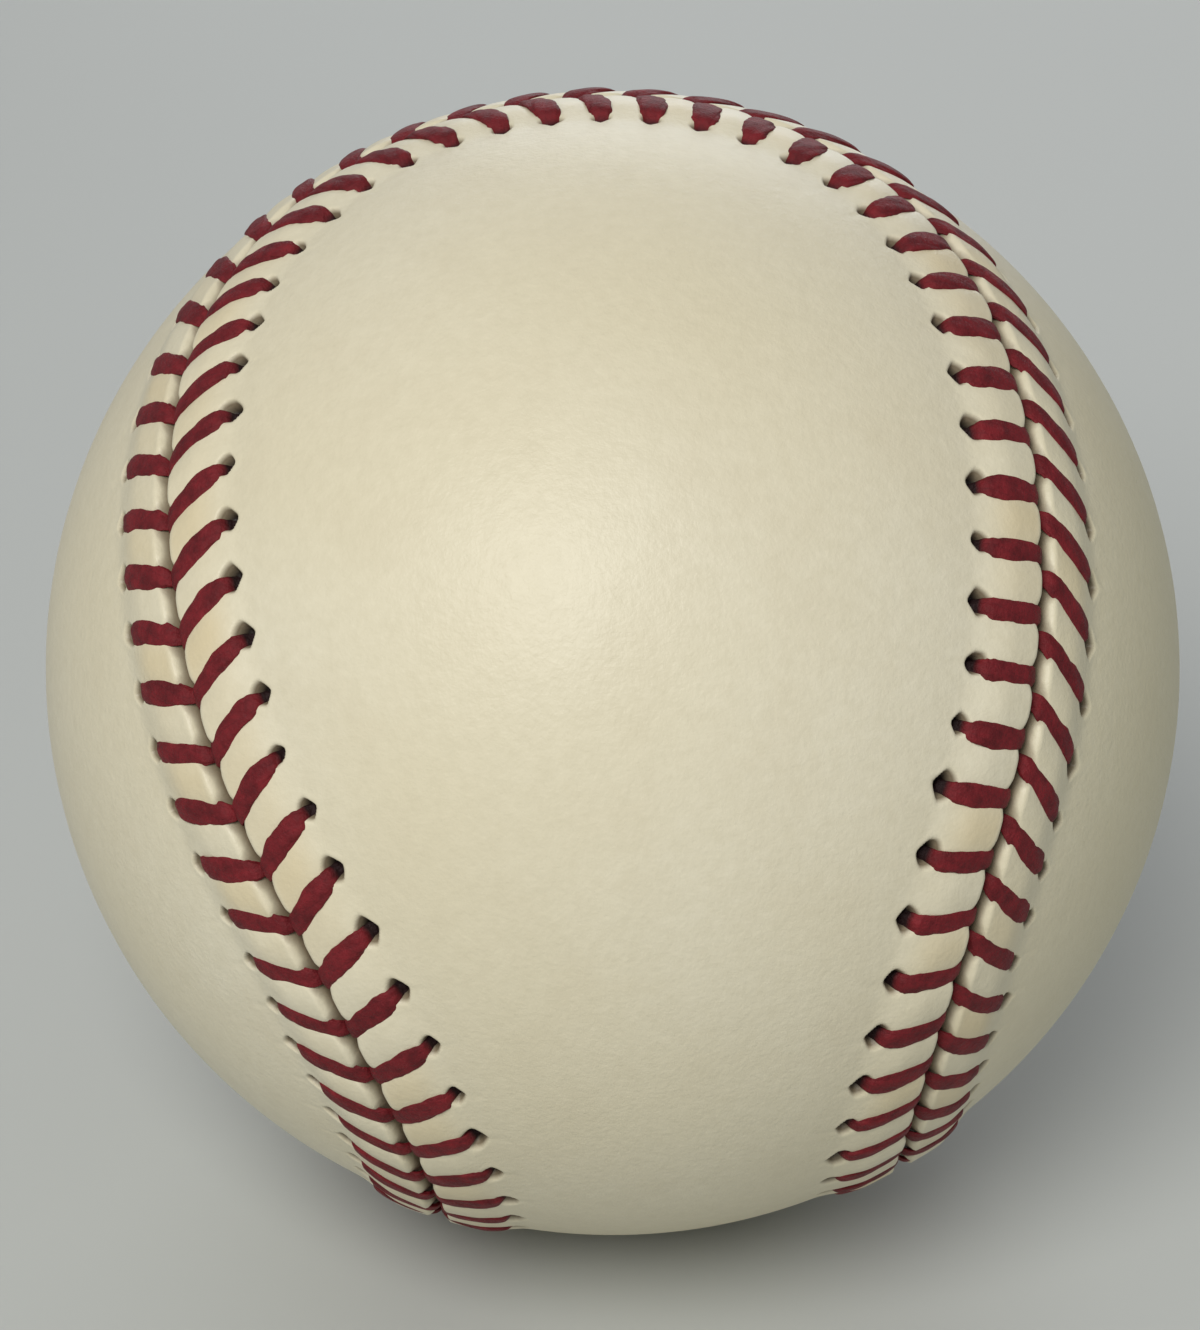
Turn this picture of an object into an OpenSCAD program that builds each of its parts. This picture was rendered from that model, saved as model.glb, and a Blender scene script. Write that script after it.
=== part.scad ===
// A baseball, opened up as it is made: a cushioned cork core, four yarn windings, a coat of cement,
// two leather panels and the two red threads that close the seam with pairs of stitches.

/* [Core] */
// Diameter of the cork and rubber core
cork_d = 20.6; // [18:0.1:23]
// Wall of the two black rubber half shells
black_wall = 4; // [3:0.1:5]
// Height of the red washer between the half shells
washer_h = 1.2; // [0.8:0.1:2]
// Wall of the red cushion layer
red_wall = 2.4; // [1.8:0.1:3]

/* [Windings] */
// Thickness of the four-ply gray wool winding
first_wool_wall = 14.6; // [12:0.1:16]
// Thickness of the three-ply white wool winding
second_wool_wall = 1.8; // [1:0.1:2.5]
// Thickness of the three-ply gray wool winding
third_wool_wall = 2.3; // [1.5:0.1:3]
// Thickness of the fine white finishing winding
finish_wall = 0.5; // [0.3:0.05:1]
// Thickness of the cement coat
cement_wall = 0.1; // [0.05:0.01:0.2]

/* [Cover] */
// Thickness of the leather
leather_wall = 1.2; // [1.1:0.05:1.4]
// Gap between the two panels along the seam
seam_gap = 0.4; // [0.35:0.01:0.5]
// Width of the passage under the leather for each run of thread
passage_w = 1; // [1:0.05:1.2]
// Height of that passage at its middle
passage_h = 0.6; // [0.6:0.01:0.7]

/* [Stitching] */
// Pairs of stitches round the seam, a multiple of four
pair_count = 108; // [100:4:112]
// Diameter of a needle hole
hole_d = 1.3; // [1.2:0.05:1.5]
// Distance from the seam to the middle of a needle hole
hole_reach = 5; // [4.6:0.1:5.6]
// Width of a stitch where it lies flat on the leather
stitch_w = 1.55; // [1.2:0.05:1.8]
// Thickness of a stitch where it lies flat on the leather
stitch_h = 0.42; // [0.3:0.01:0.5]
// Diameter of the thread where it comes up through a hole
thread_d = 0.85; // [0.7:0.01:0.9]
// Clear space between the thread and the leather
thread_clearance = 0.04; // [0.02:0.01:0.08]

/* [Hidden] */
$fn = 96;
hole_fn = 24;

// Colours
cork_colour = [0.62, 0.45, 0.30];
black_colour = [0.10, 0.10, 0.11];
red_rubber_colour = [0.62, 0.16, 0.13];
gray_wool_colour = [0.50, 0.50, 0.49];
white_wool_colour = [0.86, 0.84, 0.79];
cement_colour = [0.80, 0.72, 0.52];
leather_colour = [0.89, 0.86, 0.77];
thread_colour = [0.63, 0.11, 0.18];

// The seam is one closed curve on a sphere: an arc round each of the panels' four lobes, and four
// stretches of great circle that link them. Each quarter of it is the last one turned 90 degrees
// about Z and mirrored in Z.
// Angle from the middle of a lobe to the seam round it
lobe_angle = 44;
// Angle of the first lobe's middle above the seam's own equator
lobe_lift_angle = 22.5;
// Angle of the first lobe's middle round Z, half way along its quarter
lobe_turn_angle = 45;
// How the ball lies: its turns about X, then Y, then Z
lie_x_angle = 146.3;
lie_y_angle = 22.9;
lie_z_angle = 40;

// Radii from the middle out, each layer laid on the last
cork_r = cork_d / 2;
black_r = cork_r + black_wall;
red_r = black_r + red_wall;
first_wool_r = red_r + first_wool_wall;
second_wool_r = first_wool_r + second_wool_wall;
third_wool_r = second_wool_r + third_wool_wall;
finish_r = third_wool_r + finish_wall;
cement_r = finish_r + cement_wall;
leather_r = cement_r + leather_wall;
// Size of the blocks that cut the ball, well past its surface
cut_reach = leather_r * 2;

// Straight steps that a panel's edge is cut in, for each pair of stitches
edge_steps = 2;

// Height of a run of thread under the leather, as a share of the leather
run_height_share = 0.34;
run_r = cement_r + leather_wall * run_height_share;

// Places along one stitch, as shares of the way from the hole to the seam
stitch_outer_share = 0.3;
stitch_inner_share = 0.64;
// How far a stitch leans forward before it meets the seam, as a share of the stitch spacing: on the
// average, and the most it gains or loses beside a neck
lean_share_a = 0.36;
lean_share_b = 0.63;
lean_swing_share_a = 0.28;
lean_swing_share_b = 0.14;
// Where the first hole lies after the start of the seam, as a share of the stitch spacing
first_hole_share = 0.62;
// How much of a run under the leather is left as a tail at the end of a thread, as a share of the run
tail_share = 0.35;
// The thread pressed between the panels: its width as a share of the thread, its half thickness as
// a share of the gap, and how far its turns lie off the middle of the gap
pinch_w_share = 0.95;
pinch_h_share = 0.28;
pinch_offset_share = 0.25;
// Half thickness of the thread at its turns in the hole, as a share of its diameter
turn_h_share = 0.34;
// A short step along the seam that finds its heading, as a share of the stitch spacing
heading_step_share = 0.02;
strand_sides = 6;

// Directions in the seam's own frame
lobe_dir = [
    cos(lobe_lift_angle) * cos(lobe_turn_angle),
    cos(lobe_lift_angle) * sin(lobe_turn_angle),
    sin(lobe_lift_angle)
];
lobe_south = [
    sin(lobe_lift_angle) * cos(lobe_turn_angle),
    sin(lobe_lift_angle) * sin(lobe_turn_angle),
    -cos(lobe_lift_angle)
];
lobe_east = [-sin(lobe_turn_angle), cos(lobe_turn_angle), 0];
// The great circle through X that just touches the arc round the lobe, and where it touches
link_tilt = atan2(lobe_dir.z, lobe_dir.y) - acos(sin(lobe_angle) / norm([lobe_dir.y, lobe_dir.z]));
link_pole = [0, cos(link_tilt), sin(link_tilt)];
touch_dir = unit((lobe_dir * link_pole) * lobe_dir - link_pole) * sin(lobe_angle)
    + lobe_dir * cos(lobe_angle);
link_half = acos(touch_dir.x);
lobe_half = 180 - acos(touch_dir * lobe_south / sin(lobe_angle));
quarter_arc = 2 * link_half + 2 * lobe_half * sin(lobe_angle);
pairs_per_quarter = pair_count / 4;
stitch_spacing = quarter_arc * PI / 180 * leather_r / pairs_per_quarter;

function unit(v) = v / norm(v);
function swap_xy(v) = [v.y, v.x, v.z];
function quarter_turn(v, times) = times == 0 ? v : quarter_turn([-v.y, v.x, -v.z], times - 1);

// Direction of the seam, arc degrees after the start of a quarter on X
function quarter_point(arc) =
    arc < link_half ? unit([1, 0, 0] * sin(link_half - arc) + touch_dir * sin(arc))
    : arc > quarter_arc - link_half ? swap_xy(quarter_point(quarter_arc - arc))
    : let (turn = 180 + lobe_half - (arc - link_half) / sin(lobe_angle))
        lobe_dir * cos(lobe_angle) + (lobe_south * cos(turn) + lobe_east * sin(turn)) * sin(lobe_angle);

// Direction of the seam at a station, counted in pairs of stitches from its start
function seam_point(station) =
    let (wrapped = station - floor(station / pair_count) * pair_count)
    let (quarter = floor(wrapped / pairs_per_quarter))
    quarter_turn(
        quarter_point((wrapped - quarter * pairs_per_quarter) / pairs_per_quarter * quarter_arc),
        quarter
    );

function seam_heading(station) =
    unit(seam_point(station + heading_step_share) - seam_point(station - heading_step_share));

// A point beside the seam, off it by a distance that is positive on panel A, at a radius
function beside_seam(station, off, radius) =
    let (p = seam_point(station), angle = asin(off / radius))
    radius * (p * cos(angle) + cross(p, seam_heading(station)) * sin(angle));

// Lean of the stitch whose hole is at a station. It swings once to and fro in each two quarters.
function lean_at(station, average, swing) = average + swing * cos(180 * station / pairs_per_quarter);

module lie() {
    rotate([lie_x_angle, lie_y_angle, lie_z_angle]) children();
}

module toward(direction) {
    rotate([0, acos(direction.z), atan2(direction.y, direction.x)]) children();
}

module hollow_ball(outer_r, inner_r) {
    difference() {
        sphere(r = outer_r);
        sphere(r = inner_r);
    }
}

// All space further than off along pole, on the side where inside lies
module half_space(pole, inside, off = 0) {
    facing = pole * inside > 0 ? pole : -pole;
    toward(unit(facing)) translate([-cut_reach, -cut_reach, off])
        cube([2 * cut_reach, 2 * cut_reach, cut_reach]);
}

module cork_core() {
    color(cork_colour) lie() sphere(r = cork_r);
}

module black_shell_upper() {
    color(black_colour) lie() intersection() {
        hollow_ball(black_r, cork_r);
        half_space([0, 0, 1], [0, 0, 1], washer_h / 2);
    }
}

module black_shell_lower() {
    color(black_colour) lie() intersection() {
        hollow_ball(black_r, cork_r);
        half_space([0, 0, 1], [0, 0, -1], washer_h / 2);
    }
}

module shell_washer() {
    color(red_rubber_colour) lie() intersection() {
        hollow_ball(black_r, cork_r);
        translate([-cut_reach, -cut_reach, -washer_h / 2]) cube([2 * cut_reach, 2 * cut_reach, washer_h]);
    }
}

module red_cushion_layer() {
    color(red_rubber_colour) lie() hollow_ball(red_r, black_r);
}

module first_winding_gray_wool() {
    color(gray_wool_colour) lie() hollow_ball(first_wool_r, red_r);
}

module second_winding_white_wool() {
    color(white_wool_colour) lie() hollow_ball(second_wool_r, first_wool_r);
}

module third_winding_gray_wool() {
    color(gray_wool_colour) lie() hollow_ball(third_wool_r, second_wool_r);
}

module finishing_winding_white() {
    color(white_wool_colour) lie() hollow_ball(finish_r, third_wool_r);
}

module cement_coat() {
    color(cement_colour) lie() hollow_ball(cement_r, finish_r);
}

// The space that panel B fills, from the ball's middle outwards: a fan of walls along its edge, closed
// far outside the ball by strips that run across from each step of the edge to its mirror image
module panel_space() {
    step_count = edge_steps * pair_count;
    tip = edge_steps * pairs_per_quarter / 2;
    function at_step(i) = 1 + (i + step_count) % step_count;
    polyhedron(
        points = concat(
            [[0, 0, 0]],
            [
                for (i = [0 : step_count - 1])
                    cut_reach * unit(beside_seam(i / edge_steps, -seam_gap / 2, leather_r))
            ]
        ),
        faces = concat(
            [for (i = [0 : step_count - 1]) [0, at_step(i + 1), at_step(i)]],
            [
                for (i = [1 : step_count / 2 - 1])
                    [at_step(tip + i), at_step(tip + i + 1), at_step(tip - i)]
            ],
            [
                for (i = [0 : step_count / 2 - 2])
                    [at_step(tip + i + 1), at_step(tip - i - 1), at_step(tip - i)]
            ]
        )
    );
}

module needle_hole(station) {
    place = beside_seam(station, -hole_reach, cement_r - leather_wall);
    translate(place) toward(unit(place)) cylinder(d = hole_d, h = 3 * leather_wall, $fn = hole_fn);
}

// The passage from the seam to a hole, flat on top and open to the layer below
module run_passage(seam_station, hole_station) {
    first = beside_seam(seam_station, 0, cement_r);
    last = beside_seam(hole_station, -hole_reach, cement_r);
    middle = (first + last) / 2;
    ahead = unit(last - first);
    up = unit(middle);
    side = cross(up, ahead);
    multmatrix([
        [ahead.x, side.x, up.x, middle.x],
        [ahead.y, side.y, up.y, middle.y],
        [ahead.z, side.z, up.z, middle.z],
        [0, 0, 0, 1]
    ])
        translate([-norm(last - first) / 2, -passage_w / 2, -passage_h])
            cube([norm(last - first), passage_w, passage_h + cement_r - norm(middle) + passage_h]);
}

// Each hole and the passage that leads to it from the seam, where the last stitch on the other panel
// meets it. average and swing are the lean of the stitches on that other panel.
module thread_ways(average, swing) {
    for (i = [0 : pair_count - 1]) {
        hole_before = i - 1 + first_hole_share;
        needle_hole(hole_before + 1);
        run_passage(hole_before + lean_at(hole_before, average, swing), hole_before + 1);
    }
}

// One cover panel: two lobes joined by a neck
module panel_shape(average, swing) {
    difference() {
        intersection() {
            hollow_ball(leather_r, cement_r);
            panel_space();
        }
        thread_ways(average, swing);
    }
}

module cover_panel_b() {
    color(leather_colour) lie() panel_shape(lean_share_a, lean_swing_share_a);
}

module cover_panel_a() {
    color(leather_colour) lie() rotate([0, 0, 90]) mirror([0, 0, 1])
        panel_shape(lean_share_b, lean_swing_share_b);
}

// A ring of the strand: its middle, half its width as a vector and half its thickness as a vector
function ring(middle, half_w, half_h) = [
    for (i = [0 : strand_sides - 1])
        middle + half_w * cos(360 * i / strand_sides) + half_h * sin(360 * i / strand_sides)
];

// The rings of one stitch, from under its hole to the bottom of the seam. side is 1 on panel A and
// -1 on panel B, and lean_before is the lean of the stitch before it on the other panel.
function stitch(index, side, lean, lean_before) =
    let (hole_station = index + first_hole_share)
    let (seam_station = hole_station + lean)
    let (outer_off = hole_reach * (1 - stitch_outer_share))
    let (inner_off = hole_reach * (1 - stitch_inner_share))
    let (turn_r = leather_r + thread_clearance + thread_d * turn_h_share)
    let (flat_r = leather_r + thread_clearance + stitch_h / 2)
    let (under_slant = (1 - lean_before) * stitch_spacing / hole_reach)
    let (over_slant = lean * stitch_spacing / hole_reach)
    let (seam_off = side * seam_gap * pinch_offset_share)
    concat(
        corner_ring(hole_station, side * hole_reach, run_r, side, -under_slant, thread_d / 2,
            thread_d * turn_h_share, [-1, 1]),
        corner_ring(hole_station, side * hole_reach, turn_r, side, over_slant, thread_d / 2,
            thread_d * turn_h_share, [1, 1]),
        corner_ring(hole_station + lean * stitch_outer_share, side * outer_off, flat_r, side,
            over_slant, stitch_w / 2, stitch_h / 2, [1, 0]),
        corner_ring(hole_station + lean * stitch_inner_share, side * inner_off, flat_r, side,
            over_slant, stitch_w / 2, stitch_h / 2, [1, 0]),
        pinched_ring(seam_station, seam_off, flat_r, side),
        pinched_ring(seam_station, -seam_off, run_r, side)
    );

// slant is the strand's forward travel for each step across, and facing is how its thickness
// points, as shares up and outwards
function corner_ring(station, off, radius, side, slant, half_w, half_h, facing) =
    let (middle = beside_seam(station, off, radius), up = unit(middle), along = seam_heading(station))
    let (outward = side * unit(cross(up, along)))
    ring(middle, half_w * unit(along + slant * outward),
        side * half_h * unit(facing[0] * up + facing[1] * outward));

function pinched_ring(station, off, radius, side) =
    let (middle = beside_seam(station, off, radius), up = unit(middle), along = seam_heading(station))
    let (outward = side * unit(cross(up, along)))
    ring(middle, thread_d * pinch_w_share / 2 * along,
        side * (up * stitch_h / 2 - outward * seam_gap * pinch_h_share));

function between(first, second, share) = [
    for (i = [0 : strand_sides - 1]) first[i] * (1 - share) + second[i] * share
];

// Lean of the stitch whose hole is at a station on panel A, side 1, or on panel B, side -1
function lean_on(station, side) =
    side > 0 ? lean_at(station, lean_share_a, lean_swing_share_a)
    : lean_at(station, lean_share_b, -lean_swing_share_b);

function flatten(lists) = [for (list = lists) for (item = list) item];

// One whole thread: a stitch on each panel in turn, 1 for the thread that starts on panel A. Its end
// is tucked under the leather towards the hole it started from.
module thread_strand(first_side) {
    stitches = flatten([
        for (i = [0 : pair_count - 1])
            let (side = (i % 2 == 0 ? 1 : -1) * first_side)
            stitch(i, side, lean_on(i + first_hole_share, side), lean_on(i - 1 + first_hole_share, -side))
    ]);
    last_ring = [for (i = [1 : strand_sides]) stitches[len(stitches) - strand_sides - 1 + i]];
    points = concat(stitches, between(last_ring, stitches, tail_share));
    ring_count = len(points) / strand_sides;
    polyhedron(
        points = points,
        faces = concat(
            [[for (j = [0 : strand_sides - 1]) j]],
            [
                for (i = [0 : ring_count - 2]) for (j = [0 : strand_sides - 1])
                    let (next = (j + 1) % strand_sides, low = i * strand_sides, high = low + strand_sides)
                    [low + j, high + j, high + next, low + next]
            ],
            [[for (j = [strand_sides - 1 : -1 : 0]) (ring_count - 1) * strand_sides + j]]
        )
    );
}

module thread_a() {
    color(thread_colour) lie() thread_strand(1);
}

module thread_b() {
    color(thread_colour) lie() thread_strand(-1);
}

cork_core();
black_shell_upper();
black_shell_lower();
shell_washer();
red_cushion_layer();
first_winding_gray_wool();
second_winding_white_wool();
third_winding_gray_wool();
finishing_winding_white();
cement_coat();
cover_panel_a();
cover_panel_b();
thread_a();
thread_b();
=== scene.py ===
"""A baseball: two leather panels, the two waxed red threads that sew them, and the layers inside.

The panels and threads are built here in full detail along the same seam as the CAD model. Everything
is worked out in millimetres in the seam's own frame, then laid as the ball lies in the photograph.
"""

import math

import bpy
import numpy as np
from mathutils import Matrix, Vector


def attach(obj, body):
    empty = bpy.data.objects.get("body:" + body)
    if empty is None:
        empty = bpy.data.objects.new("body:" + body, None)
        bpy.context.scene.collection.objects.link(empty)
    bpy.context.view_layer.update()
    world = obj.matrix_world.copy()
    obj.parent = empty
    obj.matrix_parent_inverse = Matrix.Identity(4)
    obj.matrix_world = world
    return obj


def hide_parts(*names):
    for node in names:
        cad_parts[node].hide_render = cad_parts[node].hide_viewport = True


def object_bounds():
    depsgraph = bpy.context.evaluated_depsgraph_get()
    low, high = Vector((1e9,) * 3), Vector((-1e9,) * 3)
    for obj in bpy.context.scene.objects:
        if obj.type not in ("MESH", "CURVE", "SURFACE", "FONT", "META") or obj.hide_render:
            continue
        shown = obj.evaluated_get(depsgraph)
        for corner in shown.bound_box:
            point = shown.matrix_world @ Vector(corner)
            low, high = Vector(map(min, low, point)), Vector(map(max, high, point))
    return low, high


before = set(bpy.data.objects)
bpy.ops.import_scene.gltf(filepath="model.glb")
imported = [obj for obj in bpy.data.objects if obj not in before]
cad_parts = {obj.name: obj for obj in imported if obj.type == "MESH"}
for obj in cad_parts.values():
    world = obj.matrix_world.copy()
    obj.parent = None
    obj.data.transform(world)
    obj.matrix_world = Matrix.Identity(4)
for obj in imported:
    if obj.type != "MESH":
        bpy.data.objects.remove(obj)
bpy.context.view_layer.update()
rng = np.random.default_rng(108)
MM = 0.001

# The seam, as in the CAD model. Side 1 is panel A and side -1 is panel B. The ball is turned about X,
# then Y, then Z to lie as it does.
SIDES = (1, -1)
LOBE_ANGLE = math.radians(44)
LOBE_LIFT = math.radians(22.5)
LIE_DEGREES = (146.3, 22.9, 40)
PAIRS = 108
QUARTER_PAIRS = PAIRS // 4
LEATHER_R = 37.2
HALF_GAP = 0.2
FIRST_HOLE = 0.62
LEAN = {1: 0.36, -1: 0.63}
LEAN_SWING = {1: 0.28, -1: -0.14}
LEAN_CURVE = 1.35
HOLE_REACH = 5.0
HEADING_STEP = 0.02

# Detail: steps for each pair of stitches, cells across a panel's middle, and sides of a strand and steps
# for each row of a stitch
STEPS = 24
MIDDLE_CELLS = 24
STRAND_SIDES = 36
STRAND_STEPS = 7


def unit(v):
    return v / np.linalg.norm(v, axis=-1, keepdims=True)


def smooth(low, high, x):
    """Zero up to low, one from high on, and an even curve between them."""
    t = np.clip((x - low) / (high - low), 0, 1)
    return t * t * (3 - 2 * t)


def between(come_in, go_out, x):
    """One in the middle: it rises over the first pair of values and falls over the second."""
    return smooth(*come_in, x) * (1 - smooth(*go_out, x))


def turn(axis, degrees):
    """The matrix that turns points about an axis."""
    cos = math.cos(math.radians(degrees))
    sin = math.sin(math.radians(degrees))
    rows = {
        "x": [[1, 0, 0], [0, cos, -sin], [0, sin, cos]],
        "y": [[cos, 0, sin], [0, 1, 0], [-sin, 0, cos]],
        "z": [[cos, -sin, 0], [sin, cos, 0], [0, 0, 1]],
    }
    return np.array(rows[axis])


# How the ball lies, and the lobe and the link that make up half a quarter of the seam
LIE = turn("z", LIE_DEGREES[2]) @ turn("y", LIE_DEGREES[1]) @ turn("x", LIE_DEGREES[0])
DIAGONAL = math.sqrt(0.5)
LOBE = np.array([math.cos(LOBE_LIFT) * DIAGONAL, math.cos(LOBE_LIFT) * DIAGONAL, math.sin(LOBE_LIFT)])
SOUTH = np.array([math.sin(LOBE_LIFT) * DIAGONAL, math.sin(LOBE_LIFT) * DIAGONAL, -math.cos(LOBE_LIFT)])
EAST = np.array([-DIAGONAL, DIAGONAL, 0])
TILT = math.atan2(LOBE[2], LOBE[1]) - math.acos(math.sin(LOBE_ANGLE) / math.hypot(LOBE[1], LOBE[2]))
LINK_POLE = np.array([0, math.cos(TILT), math.sin(TILT)])
TOUCH = LOBE * math.cos(LOBE_ANGLE) + unit((LOBE @ LINK_POLE) * LOBE - LINK_POLE) * math.sin(LOBE_ANGLE)
LINK_HALF = math.acos(TOUCH[0])
LOBE_HALF = math.pi - math.acos(TOUCH @ SOUTH / math.sin(LOBE_ANGLE))
QUARTER_ARC = 2 * LINK_HALF + 2 * LOBE_HALF * math.sin(LOBE_ANGLE)
SPACING = QUARTER_ARC * LEATHER_R / QUARTER_PAIRS


def half_quarter(arc):
    """Directions of the seam in the first half of a quarter."""
    arc = arc[:, None]
    link = unit(np.array([1.0, 0, 0]) * np.sin(LINK_HALF - arc) + TOUCH * np.sin(arc))
    angle = math.pi + LOBE_HALF - (arc - LINK_HALF) / math.sin(LOBE_ANGLE)
    lobe = LOBE * math.cos(LOBE_ANGLE) + (SOUTH * np.cos(angle) + EAST * np.sin(angle)) * math.sin(LOBE_ANGLE)
    return np.where(arc < LINK_HALF, link, lobe)


def seam(station):
    """Directions of the seam at stations counted in pairs of stitches."""
    station = np.asarray(station, float) % PAIRS
    quarter = np.floor(station / QUARTER_PAIRS).astype(int)
    arc = (station / QUARTER_PAIRS - quarter) * QUARTER_ARC
    second = arc > QUARTER_ARC / 2
    p = half_quarter(np.where(second, QUARTER_ARC - arc, arc))
    p = np.where(second[:, None], p[:, [1, 0, 2]], p)
    for i in range(1, 4):
        turned = np.stack([-p[:, 1], p[:, 0], -p[:, 2]], axis=1)
        p = np.where((quarter >= i)[:, None], turned, p)
    return p


def heading(station):
    """The way the seam runs at a station."""
    return unit(seam(station + HEADING_STEP) - seam(station - HEADING_STEP))


def lean_at(side, station):
    """How far a stitch leans forward before it meets the seam, in pairs of stitches."""
    return LEAN[side] + LEAN_SWING[side] * np.cos(math.pi * station / QUARTER_PAIRS)


def on_ball(station, off, height):
    """Points at a distance off the seam, positive on panel A, and a height over the leather."""
    p = seam(station)
    across = np.cross(p, heading(station))
    angle = (off / LEATHER_R)[:, None]
    return (p * np.cos(angle) + across * np.sin(angle)) * (LEATHER_R + height)[:, None]


def make_object(name, points, faces, values):
    """A smooth mesh from points in the seam's frame, arrays of faces with as many corners each, and
    values at the points for the materials."""
    mesh = bpy.data.meshes.new(name)
    mesh.vertices.add(len(points))
    mesh.vertices.foreach_set("co", (points @ LIE.T * MM).astype(np.float32).ravel())
    corners = np.concatenate([f.ravel() for f in faces]).astype(np.int32)
    sizes = np.concatenate([np.full(len(f), f.shape[1]) for f in faces])
    mesh.loops.add(len(corners))
    mesh.loops.foreach_set("vertex_index", corners)
    mesh.polygons.add(len(sizes))
    mesh.polygons.foreach_set("loop_start", (np.cumsum(sizes) - sizes).astype(np.int32))
    mesh.polygons.foreach_set("use_smooth", np.ones(len(sizes), bool))
    mesh.update(calc_edges=True)
    for key, value in values.items():
        mesh.attributes.new(key, "FLOAT", "POINT").data.foreach_set("value", value.astype(np.float32))
    obj = bpy.data.objects.new(name, mesh)
    bpy.context.collection.objects.link(obj)
    return obj


# The leather's relief, in millimetres over the ball. IN and OUT hold where something starts and stops
# to come in or to go out, in millimetres off the seam. First the lip along the seam and the pillow
# between each two stitches.
LIP_RISE = 0.24
LIP_IN = (0.1, 0.7)
LIP_OUT = (2.0, 6.2)
PILLOW_RISE = 0.46
PILLOW_IN = (0.15, 0.75)
PILLOW_OUT = (2.6, 5.8)
PILLOW_POWER = 0.55

# The rounded edge, which reaches further in beside a stitch than at a pillow's middle, and where the painted
# shade of the groove starts to fade
EDGE_DROP = 0.65
EDGE_POWER = 2.2
EDGE_ROLL = 0.34
CORNER_ROLL = 1.0
CORNER_SHARE = 0.42
GROOVE_SHADE_START = 0.25

# The pulled hole at a stitch's outer end: how far past that end its middle lies, how far the thread
# pulls it forward, its half sizes towards the seam, away from it and along it, how it is stretched
# along and across its tilt, and where, counted from its middle, it narrows and gets shallower
HOLE_OFFSET = 0.12
HOLE_PULL = 1.1
HOLE_NEAR = 0.90
HOLE_FAR = 0.76
HOLE_HALF_W = 0.73
HOLE_STRETCH = (1.12, 0.92)
HOLE_POWER = 1.6
HOLE_TAPER = 0.5
HOLE_NARROWS = (-0.1, 0.9)
HOLE_DEPTH = 1.0
HOLE_FADE = 0.5
HOLE_SHALLOWS = (0, 0.8)

# The hole's wall, and the faint rim round it, in shares of the hole's size
WALL_SHARES = (0.35, 1.15)
RIM_RISE = 0.015
RIM_SHARE = 1.5
RIM_WIDTH_SHARE = 0.35

# The faint crease beyond a hole, and the stains on some pillows
CREASE_DEPTH = 0.035
CREASE_WIDTH = 0.3
CREASE_IN = (5.5, 6.0)
CREASE_OUT = (6.2, 7.6)
STAIN_IN = (0.3, 1.2)
STAIN_OUT = (2.6, 5.2)

# No two pillows and no two holes are alike
pillow_scale = {side: rng.uniform(0.8, 1.15, PAIRS) for side in SIDES}
hole_shift = {side: rng.normal(0, 0.12, PAIRS) for side in SIDES}
hole_scale = {side: rng.uniform(0.85, 1.2, PAIRS) for side in SIDES}
hole_tilt = {side: rng.normal(0, 0.4, PAIRS) for side in SIDES}
stain_scale = {side: rng.uniform(0, 1, PAIRS) ** 2 for side in SIDES}


def hole_relief(side, stitch, share, lean, off):
    """How deep in its stitch's hole a point is, and how much of the hole's rim it has."""
    size = hole_scale[side][stitch]
    beyond = off - HOLE_REACH - HOLE_OFFSET - hole_shift[side][stitch]
    taper = 1 - HOLE_TAPER * smooth(*HOLE_NARROWS, beyond)
    reach = beyond / (np.where(beyond < 0, HOLE_NEAR, HOLE_FAR) * size)
    aside = (share * SPACING + HOLE_PULL * (lean - LEAN[1])) / (HOLE_HALF_W * taper * size)
    tilt = hole_tilt[side][stitch]
    long_way = (aside * np.cos(tilt) + reach * np.sin(tilt)) / HOLE_STRETCH[0]
    short_way = (reach * np.cos(tilt) - aside * np.sin(tilt)) / HOLE_STRETCH[1]
    hole = (np.abs(long_way) ** HOLE_POWER + np.abs(short_way) ** HOLE_POWER) ** (1 / HOLE_POWER)
    depth = (1 - smooth(*WALL_SHARES, hole)) * (1 - HOLE_FADE * smooth(*HOLE_SHALLOWS, beyond))
    rim = np.exp(-((hole - RIM_SHARE) / RIM_WIDTH_SHARE) ** 2)
    return depth, rim


def leather_relief(side, station, off):
    """Height over the ball, and how deep in a groove, how deep in a hole and how stained a point is; the
    groove and hole values set painted shade.
    """
    lean = lean_at(side, station)
    along = station - FIRST_HOLE - lean * np.clip(1 - off / HOLE_REACH, 0, 1) ** LEAN_CURVE
    stitch = np.round(along)
    share = along - stitch
    stitch = stitch.astype(int) % PAIRS
    pillow = np.floor(along).astype(int) % PAIRS
    puff = (1 - (1 - 2 * np.abs(share)) ** 2) ** PILLOW_POWER
    height = LIP_RISE * between(LIP_IN, LIP_OUT, off)
    height += PILLOW_RISE * pillow_scale[side][pillow] * puff * between(PILLOW_IN, PILLOW_OUT, off)
    roll = EDGE_ROLL + CORNER_ROLL * (1 - smooth(0, CORNER_SHARE, np.abs(share)))
    height -= EDGE_DROP * np.clip(1 - (off - HALF_GAP) / roll, 0, 1) ** EDGE_POWER
    depth, rim = hole_relief(side, stitch, share, lean, off)
    height += RIM_RISE * rim - HOLE_DEPTH * depth
    across = share * SPACING * np.cos(np.arctan(lean * SPACING / HOLE_REACH))
    height -= CREASE_DEPTH * np.exp(-(across / CREASE_WIDTH) ** 2) * between(CREASE_IN, CREASE_OUT, off)
    # Painted shade in the seam groove and over the rounded edge beside it
    groove_shade = 1 - smooth(GROOVE_SHADE_START, HALF_GAP + roll, off)
    stain = stain_scale[side][pillow] * puff * between(STAIN_IN, STAIN_OUT, off)
    return height, groove_shade, depth, stain


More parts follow.
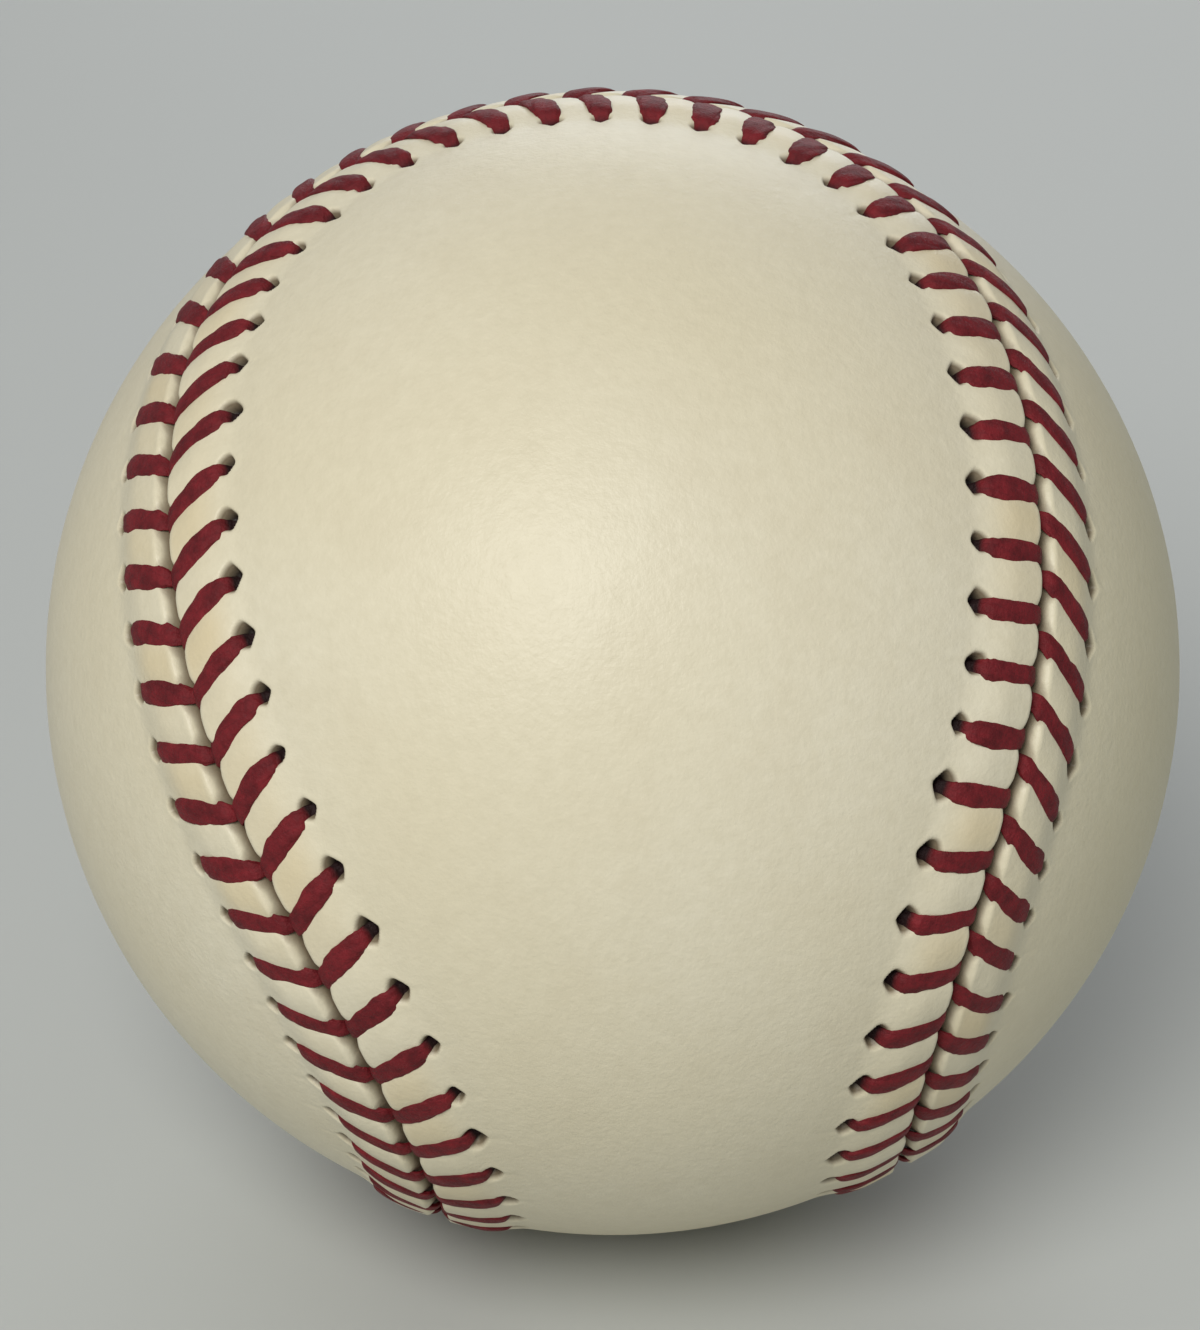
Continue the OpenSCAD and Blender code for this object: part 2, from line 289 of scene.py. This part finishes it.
# The rows of points that run along a panel's edge: the cut wall, given as how far into the gap and how
# far down each row lies, then the rounded edge, and then start, end and step for the rows over the
# pillows, over the holes and beyond them
WALL_ROWS = ((0.02, 0.75), (0.02, 0.45), (0.01, 0.2))
EDGE_ROWS = (0.2, 0.24, 0.3, 0.38, 0.48, 0.6, 0.74, 0.9)
OTHER_ROWS = ((1.08, 4.2, 0.2), (4.2, 6.2, 0.1), (6.25, 8.7, 0.25))


def panel_middle(points, edge, tip):
    """New points and the faces for a panel's middle: rows from each point of the inner edge to its
    mirror image across the panel, closed by a fan at either tip."""
    count = len(edge)
    rows = np.arange(1, count // 2)
    left = edge[(tip + rows) % count]
    right = edge[(tip - rows) % count]
    a = unit(points[left])[:, None, :]
    b = unit(points[right])[:, None, :]
    angle = np.arccos(np.clip((a * b).sum(axis=-1, keepdims=True), -1, 1))
    t = (np.arange(1, MIDDLE_CELLS) / MIDDLE_CELLS)[None, :, None]
    inner = (a * np.sin((1 - t) * angle) + b * np.sin(t * angle)) / np.sin(angle) * LEATHER_R
    index = len(points) + np.arange(len(rows) * (MIDDLE_CELLS - 1)).reshape(len(rows), -1)
    across = np.concatenate([left[:, None], index, right[:, None]], axis=1)
    cells = np.stack([across[:-1, :-1], across[1:, :-1], across[1:, 1:], across[:-1, 1:]], axis=-1)
    first = np.full(MIDDLE_CELLS, edge[tip % count])
    last = np.full(MIDDLE_CELLS, edge[(tip + count // 2) % count])
    fans = np.concatenate([
        np.stack([first, across[0, :-1], across[0, 1:]], axis=-1),
        np.stack([last, across[-1, 1:], across[-1, :-1]], axis=-1),
    ])
    return inner.reshape(-1, 3), cells.reshape(-1, 4), fans


def make_panel(name, side):
    """One leather panel: a detailed band along the seam, and a plain middle."""
    offs = np.concatenate([
        [HALF_GAP - inward for inward, _ in WALL_ROWS],
        EDGE_ROWS,
        *(np.arange(*rows) for rows in OTHER_ROWS),
    ])
    width = len(offs)
    sunk = np.zeros(width)
    sunk[:len(WALL_ROWS)] = [down for _, down in WALL_ROWS]
    count = STEPS * PAIRS
    station = np.repeat(np.arange(count) / STEPS, width)
    off = np.tile(offs, count)
    height, groove_shade, hole, stain = leather_relief(side, station, off)
    points = on_ball(station, side * off, height - np.tile(sunk, count))
    row = np.arange(count)[:, None] * width
    next_row = (np.arange(count)[:, None] + 1) % count * width
    j = np.arange(width - 1)[None, :]
    band = np.stack([row + j, next_row + j, next_row + j + 1, row + j + 1], axis=-1).reshape(-1, 4)

    # Panel A is panel B a quarter turn on, so its first tip lies a quarter further along
    tip = STEPS * QUARTER_PAIRS // 2 + (0 if side < 0 else STEPS * QUARTER_PAIRS)
    inner, middle, fans = panel_middle(points, np.arange(count) * width + width - 1, tip)
    faces = [band, middle, fans]
    if side < 0:
        faces = [f[:, ::-1] for f in faces]
    pad = np.zeros(len(inner))
    return make_object(name, np.concatenate([points, inner]), faces, {
        # Painted shade along the seam groove, its rounded edges and the cut wall rows
        "groove_shade": np.concatenate([groove_shade + np.tile(sunk > 0, count), pad]),
        # The depth in a hole, which also sets painted shade in the holes
        "hole": np.concatenate([hole, pad]),
        "stain": np.concatenate([stain, pad]),
    })


# A stitch from the bottom of its hole to the bottom of the seam: share of the way to the seam, height,
# half width and half thickness. Then the run from there to the next hole, under the other panel.
STITCH = (
    (0.00, -0.95, 0.48, 0.24),
    (0.05, -0.62, 0.55, 0.26),
    (0.11, 0.02, 0.62, 0.26),
    (0.18, 0.25, 0.70, 0.23),
    (0.36, 0.43, 0.78, 0.22),
    (0.57, 0.47, 0.81, 0.21),
    (0.77, 0.44, 0.75, 0.20),
    (0.90, 0.29, 0.62, 0.19),
    (0.97, -0.04, 0.48, 0.15),
    (1.00, -0.50, 0.38, 0.12),
    (1.00, -0.85, 0.38, 0.12),
)
UNDER = (
    (0.40, -0.90, 0.40, 0.20),
    (0.85, -0.95, 0.38, 0.25),
)

# Round the tips of panel A, the first of them this many quarters along, the stitches were pulled less
# tight, so they stand higher between these shares of their length, and swell
TIP_QUARTERS = 1.5
TIP_RISE = 0.17
TIP_IN_SHARES = (0.05, 0.18)
TIP_OUT_SHARES = (0.8, 1)
TIP_SWELL = 0.13

# No two stitches are alike: how much their width, height and place vary, how far the thread follows its
# hole's shift, and how uneven its width is along the way
WIDTH_RANGE = (0.9, 1.08)
LIFT_SPREAD = 0.025
SWAY_SPREAD = 0.02
HOLE_FOLLOW = 0.7
ROUGHNESS = 0.035
ROUGH_BLUR = (0.25, 0.5, 0.25)

# The thread's section: plies that twist along it, and how square it is. Below the leather it gets painted
# shade, which fades in over these heights.
PLIES = 5
PLY_DEPTH = 0.08
PLY_LEVEL = 1.2
TWIST_PER_MM = 0.42
SECTION_POWER = 0.9
SUNK_SHADE_HEIGHTS = (-0.6, 0.1)


def strand_path(first_side):
    """Rows of station, distance off the seam, height, half width and half thickness."""
    rows = []
    for i in range(PAIRS):
        side = first_side if i % 2 == 0 else -first_side
        hole = i + FIRST_HOLE
        width = rng.uniform(*WIDTH_RANGE)
        lift = rng.normal(0, LIFT_SPREAD)
        sway = rng.normal(0, SWAY_SPREAD)
        start = HOLE_REACH + hole_shift[side][i] * HOLE_FOLLOW
        lean = lean_at(side, hole)
        tip = max(0, math.cos(math.pi * (hole / QUARTER_PAIRS - TIP_QUARTERS))) ** 2
        swell = 1 + TIP_SWELL * tip
        for share, height, half_w, half_t in STITCH:
            bulge = math.sin(math.pi * share)
            rise = TIP_RISE * tip * between(TIP_IN_SHARES, TIP_OUT_SHARES, share)
            rows.append([
                hole + lean * share ** LEAN_CURVE + sway * bulge,
                side * start * (1 - share),
                height + rise + lift * bulge,
                half_w * swell * (1 + (width - 1) * bulge),
                half_t * swell,
            ])
        seam_station = hole + lean
        for share, height, half_w, half_t in UNDER:
            station = seam_station + (hole + 1 - seam_station) * share
            rows.append([station, -side * HOLE_REACH * share, height, half_w, half_t])
    return np.array(rows)


def eased(rows, steps):
    """The rows with steps for each one, along a curve that passes through them all."""
    ends = np.concatenate([[2 * rows[0] - rows[1]], rows, [2 * rows[-1] - rows[-2]]])
    before, a, b, after = (v[:, None, :] for v in (ends[:-3], ends[1:-2], ends[2:-1], ends[3:]))
    t = (np.arange(steps) / steps)[None, :, None]
    curve = 0.5 * (2 * a + (b - before) * t + (2 * before - 5 * a + 4 * b - after) * t ** 2
                   + (3 * a - before - 3 * b + after) * t ** 3)
    return np.concatenate([curve.reshape(-1, rows.shape[1]), rows[-1:]])


def make_thread(name, first_side):
    """One unbroken strand, laid as a tube of twisted plies along its path."""
    station, off, height, half_w, half_t = eased(strand_path(first_side), STRAND_STEPS).T
    middle = on_ball(station, off, height)
    along = unit(np.gradient(middle, axis=0))
    ahead = heading(station)
    wide = unit(ahead - (ahead * along).sum(axis=1, keepdims=True) * along)
    thick = np.cross(along, wide)
    length = np.concatenate([[0], np.cumsum(np.linalg.norm(np.diff(middle, axis=0), axis=1))])
    rings = len(station)
    half_w = half_w * (1 + ROUGHNESS * np.convolve(rng.normal(0, 1, rings), ROUGH_BLUR, "same"))
    theta = np.linspace(0, 2 * math.pi, STRAND_SIDES, endpoint=False)[None, :]
    ridge = np.abs(np.sin(PLIES / 2 * (theta - (length * TWIST_PER_MM)[:, None])))
    ply = 1 + PLY_DEPTH * (ridge * 2 - PLY_LEVEL)
    flat = np.sign(np.cos(theta)) * np.abs(np.cos(theta)) ** SECTION_POWER
    points = (
        middle[:, None, :]
        + wide[:, None, :] * (half_w[:, None] * flat * ply)[:, :, None]
        + thick[:, None, :] * (half_t[:, None] * np.sin(theta) * ply)[:, :, None]
    )
    ring = np.arange(rings - 1)[:, None] * STRAND_SIDES
    sides = np.arange(STRAND_SIDES)
    here = ring + sides
    beside = ring + (sides + 1) % STRAND_SIDES
    tube = np.stack([here, beside, beside + STRAND_SIDES, here + STRAND_SIDES], axis=-1).reshape(-1, 4)
    ends = np.stack([sides[::-1], (rings - 1) * STRAND_SIDES + sides])
    return make_object(name, points.reshape(-1, 3), [tube, ends], {
        # Painted shade between the twisted plies
        "ply": (1 - ridge).ravel(),
        # Painted shade where the thread lies below the leather, in the holes and under the seam
        "sunk": np.repeat(1 - smooth(*SUNK_SHADE_HEIGHTS, height), STRAND_SIDES),
    })


# Materials. Their patterns' scales are per metre, and the distances of their bumps are in metres.
def srgb(red, green, blue):
    """A colour as a shader takes it, from the values that a screen shows."""
    channels = (red / 255, green / 255, blue / 255)
    return [((c + 0.055) / 1.055) ** 2.4 if c > 0.04045 else c / 12.92 for c in channels] + [1]


class Paint:
    """A material's nodes, added one call at a time."""

    def __init__(self, name, roughness, specular=0.5):
        self.material = bpy.data.materials.new(name)
        self.material.use_nodes = True
        self.tree = self.material.node_tree
        self.surface = self.tree.nodes["Principled BSDF"]
        self.surface.inputs["Roughness"].default_value = roughness
        self.surface.inputs["Specular IOR Level"].default_value = specular
        self.place = self.tree.nodes.new("ShaderNodeTexCoord").outputs["Object"]

    def link(self, a, b):
        self.tree.links.new(a, b)

    def noise(self, scale, detail=3, rough=0.5):
        node = self.tree.nodes.new("ShaderNodeTexNoise")
        node.inputs["Scale"].default_value = scale
        node.inputs["Detail"].default_value = detail
        node.inputs["Roughness"].default_value = rough
        self.link(self.place, node.inputs["Vector"])
        return node.outputs["Fac"]

    def along_x(self):
        node = self.tree.nodes.new("ShaderNodeSeparateXYZ")
        self.link(self.place, node.inputs["Vector"])
        return node.outputs["X"]

    def cells(self, scale):
        node = self.tree.nodes.new("ShaderNodeTexVoronoi")
        node.inputs["Scale"].default_value = scale
        self.link(self.place, node.inputs["Vector"])
        return node

    def waves(self, scale, distortion):
        node = self.tree.nodes.new("ShaderNodeTexWave")
        node.inputs["Scale"].default_value = scale
        node.inputs["Distortion"].default_value = distortion
        node.inputs["Detail"].default_value = 3
        node.inputs["Detail Scale"].default_value = 0.4
        self.link(self.place, node.inputs["Vector"])
        return node.outputs["Fac"]

    def attribute(self, name):
        node = self.tree.nodes.new("ShaderNodeAttribute")
        node.attribute_name = name
        return node.outputs["Fac"]

    def spread(self, value, low, high, to_low=0.0, to_high=1.0):
        """A value from low to high, stretched to run from to_low to to_high."""
        node = self.tree.nodes.new("ShaderNodeMapRange")
        for key, number in zip(("From Min", "From Max", "To Min", "To Max"), (low, high, to_low, to_high)):
            node.inputs[key].default_value = number
        self.link(value, node.inputs["Value"])
        return node.outputs["Result"]

    def mix(self, share, first, second):
        """A share of the second colour over the first. Each is a colour or another node's output."""
        node = self.tree.nodes.new("ShaderNodeMix")
        node.data_type = "RGBA"
        self.link(share, node.inputs[0])
        for value, socket in ((first, node.inputs[6]), (second, node.inputs[7])):
            if isinstance(value, list):
                socket.default_value = value
            else:
                self.link(value, socket)
        return node.outputs[2]

    def colour(self, value):
        self.link(value, self.surface.inputs["Base Color"])

    def bump(self, value, distance, strength, under=None):
        """Raises the surface, over any bump under it."""
        node = self.tree.nodes.new("ShaderNodeBump")
        node.inputs["Distance"].default_value = distance
        node.inputs["Strength"].default_value = strength
        self.link(value, node.inputs["Height"])
        if under is not None:
            self.link(under, node.inputs["Normal"])
        self.link(node.outputs["Normal"], self.surface.inputs["Normal"])
        return node.outputs["Normal"]


def leather_paint():
    """Cream leather: cloudy, yellowed towards one side, stained by handling, with painted shade in the seam
    and the holes.
    """
    paint = Paint("cover leather", 0.42, 0.4)
    clouds = paint.spread(paint.noise(28, 2), 0.35, 0.7)
    blotches = paint.spread(paint.noise(170, 4), 0.5, 0.8, 0, 0.35)
    pores = paint.spread(paint.noise(1100, 3, 0.6), 0.3, 0.75, 0, 0.3)
    yellowed = paint.spread(paint.along_x(), 0.022, 0.037, 0, 0.55)
    stain = paint.spread(paint.attribute("stain"), 0, 1, 0, 0.45)
    # Painted shade in the seam groove and on the panel edges beside it
    groove_shade = paint.spread(paint.attribute("groove_shade"), 0.15, 1, 0, 0.9)
    # Painted shade on the hole walls, and dark painted shade at the hole bottoms
    hole_wall_shade = paint.spread(paint.attribute("hole"), 0.01, 0.3, 0, 0.9)
    hole_bottom_shade = paint.spread(paint.attribute("hole"), 0.4, 0.9)
    tone = paint.mix(clouds, srgb(223, 214, 186), srgb(229, 222, 199))
    for share, colour in (
        (blotches, srgb(214, 203, 175)),
        (pores, srgb(204, 195, 166)),
        (yellowed, srgb(204, 194, 148)),
        (stain, srgb(214, 190, 138)),
        (groove_shade, srgb(105, 86, 62)),
        (hole_wall_shade, srgb(116, 101, 79)),
        (hole_bottom_shade, srgb(36, 27, 21)),
    ):
        tone = paint.mix(share, tone, colour)
    paint.colour(tone)
    grain = paint.bump(paint.noise(2600, 3, 0.6), 0.0001, 0.45)
    pebbles = paint.bump(paint.noise(900, 4, 0.6), 0.00025, 0.12, grain)
    paint.bump(paint.noise(60, 2), 0.0010, 0.12, pebbles)
    return paint.material


def thread_paint():
    """Waxed red thread: uneven in colour, with painted shade between its plies and in the holes and the seam.
    """
    paint = Paint("waxed red thread", 0.6, 0.3)
    fleck = paint.spread(paint.noise(900, 4, 0.65), 0.35, 0.68)
    tone = paint.mix(fleck, srgb(92, 14, 21), srgb(126, 27, 35))
    # Painted shade between the twisted plies
    tone = paint.mix(paint.spread(paint.attribute("ply"), 0.75, 1, 0, 0.4), tone, srgb(70, 10, 20))
    # Painted shade on the thread below the leather
    tone = paint.mix(paint.spread(paint.attribute("sunk"), 0.1, 0.9), tone, srgb(34, 12, 14))
    paint.colour(tone)
    fibres = paint.bump(paint.noise(2600, 4, 0.7), 0.00022, 0.8)
    paint.bump(paint.attribute("ply"), 0.00012, -0.6, fibres)
    return paint.material


def cork_paint():
    paint = Paint("cork and rubber", 0.8)
    grains = paint.cells(520)
    tone = paint.mix(grains.outputs["Color"], srgb(150, 108, 70), srgb(205, 165, 118))
    paint.colour(paint.mix(paint.spread(paint.noise(900), 0.55, 0.7), tone, srgb(70, 48, 34)))
    paint.bump(grains.outputs["Distance"], 0.0003, 0.5)
    return paint.material


def rubber_paint(name, first, second):
    paint = Paint(name, 0.6)
    paint.colour(paint.mix(paint.noise(300, 4), first, second))
    paint.bump(paint.noise(1500, 3), 0.0001, 0.4)
    return paint.material


def yarn_paint(name, first, second, scale):
    paint = Paint(name, 0.95, 0.2)
    strands = paint.waves(scale, 14)
    paint.colour(paint.mix(strands, first, second))
    fuzz = paint.bump(paint.noise(2500, 4, 0.7), 0.0002, 0.6)
    paint.bump(strands, 0.0006, 0.8, fuzz)
    return paint.material


def cement_paint():
    paint = Paint("rubber cement", 0.3)
    paint.colour(paint.mix(paint.noise(120, 4), srgb(206, 186, 140), srgb(222, 208, 170)))
    paint.bump(paint.noise(500, 3), 0.0002, 0.5)
    return paint.material


# The layers inside keep their CAD shape and get their own materials
black = rubber_paint("black rubber", srgb(22, 22, 24), srgb(34, 34, 36))
red = rubber_paint("red rubber", srgb(132, 34, 28), srgb(158, 46, 38))
gray = yarn_paint("gray wool", srgb(104, 104, 102), srgb(150, 149, 145), 260)
white = yarn_paint("white wool", srgb(196, 190, 176), srgb(228, 224, 212), 300)
finishing = yarn_paint("finishing yarn", srgb(208, 205, 194), srgb(236, 234, 226), 620)
INNER = {
    "cork_core": cork_paint(),
    "black_shell_upper": black,
    "black_shell_lower": black,
    "shell_washer": red,
    "red_cushion_layer": red,
    "first_winding_gray_wool": gray,
    "second_winding_white_wool": white,
    "third_winding_gray_wool": gray,
    "finishing_winding_white": finishing,
    "cement_coat": cement_paint(),
}
for node_name, material in INNER.items():
    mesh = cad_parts[node_name].data
    mesh.materials.clear()
    mesh.materials.append(material)

# The panels and the threads replace their CAD shapes
cover = leather_paint()
for name, side in (("cover_panel_a_leather", 1), ("cover_panel_b_leather", -1)):
    panel = make_panel(name, side)
    panel.data.materials.append(cover)
    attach(panel, "root")
    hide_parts("cover_panel_a" if side > 0 else "cover_panel_b")

thread = thread_paint()
for name, side in (("thread_a_strand", 1), ("thread_b_strand", -1)):
    strand = make_thread(name, side)
    strand.data.materials.append(thread)
    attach(strand, "root")
    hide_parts("thread_a" if side > 0 else "thread_b")

# The surface that it lies on
FLOOR_SIZE = 6
floor_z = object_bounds()[0][2]
bpy.ops.mesh.primitive_plane_add(size=FLOOR_SIZE, location=(0, 0, floor_z))
floor = bpy.context.object
floor.name = "floor"
floor_look = Paint("pale gray surface", 0.55, 0.3)
floor_look.colour(floor_look.mix(floor_look.noise(9, 2), srgb(186, 189, 186), srgb(192, 195, 192)))
floor.data.materials.append(floor_look.material)

# The light: a dim, slightly blue room, a window in front and a fainter one behind
ROOM_COLOUR = (0.93, 0.96, 1, 1)
ROOM_STRENGTH = 0.33

scene = bpy.context.scene
scene.view_settings.view_transform = "Standard"
scene.world = bpy.data.worlds.new("room")
scene.world.use_nodes = True
background = scene.world.node_tree.nodes["Background"]
background.inputs["Color"].default_value = ROOM_COLOUR
background.inputs["Strength"].default_value = ROOM_STRENGTH


def add_light(name, place, size, power, colour):
    """A round lamp that faces the ball's middle."""
    data = bpy.data.lights.new(name, "AREA")
    data.shape = "DISK"
    data.size = size
    data.energy = power
    data.color = colour
    obj = bpy.data.objects.new(name, data)
    obj.location = place
    obj.rotation_euler = (-Vector(place)).to_track_quat("-Z", "Y").to_euler()
    obj.visible_camera = False
    bpy.context.collection.objects.link(obj)


add_light("window", place=(-0.28, -0.86, 0.90), size=0.7, power=11.4, colour=(1, 0.98, 0.94))
add_light("behind", place=(0.15, 1.3, 0.36), size=0.9, power=4.5, colour=(0.96, 0.98, 1))

# The camera, fitted to the photograph: how far it is from the ball's middle, how steeply it looks down,
# and how many of the photograph's pixels the frame is shifted by
DISTANCE = 0.3292
ELEVATION = math.radians(28.47)
SENSOR_MM = 36
LENS_MM = 134.95
SHIFT_PX = (-12.7, 3)
PHOTO_HEIGHT_PX = 1330
CLIP_START = 0.01

camera_data = bpy.data.cameras.new("camera")
camera_data.sensor_width = SENSOR_MM
camera_data.lens = LENS_MM
camera_data.shift_x = SHIFT_PX[0] / PHOTO_HEIGHT_PX
camera_data.shift_y = SHIFT_PX[1] / PHOTO_HEIGHT_PX
camera_data.clip_start = CLIP_START
camera = bpy.data.objects.new("camera", camera_data)
camera.location = (0, -DISTANCE * math.cos(ELEVATION), DISTANCE * math.sin(ELEVATION))
camera.rotation_euler = (math.pi / 2 - ELEVATION, 0, 0)
bpy.context.collection.objects.link(camera)
scene.camera = camera
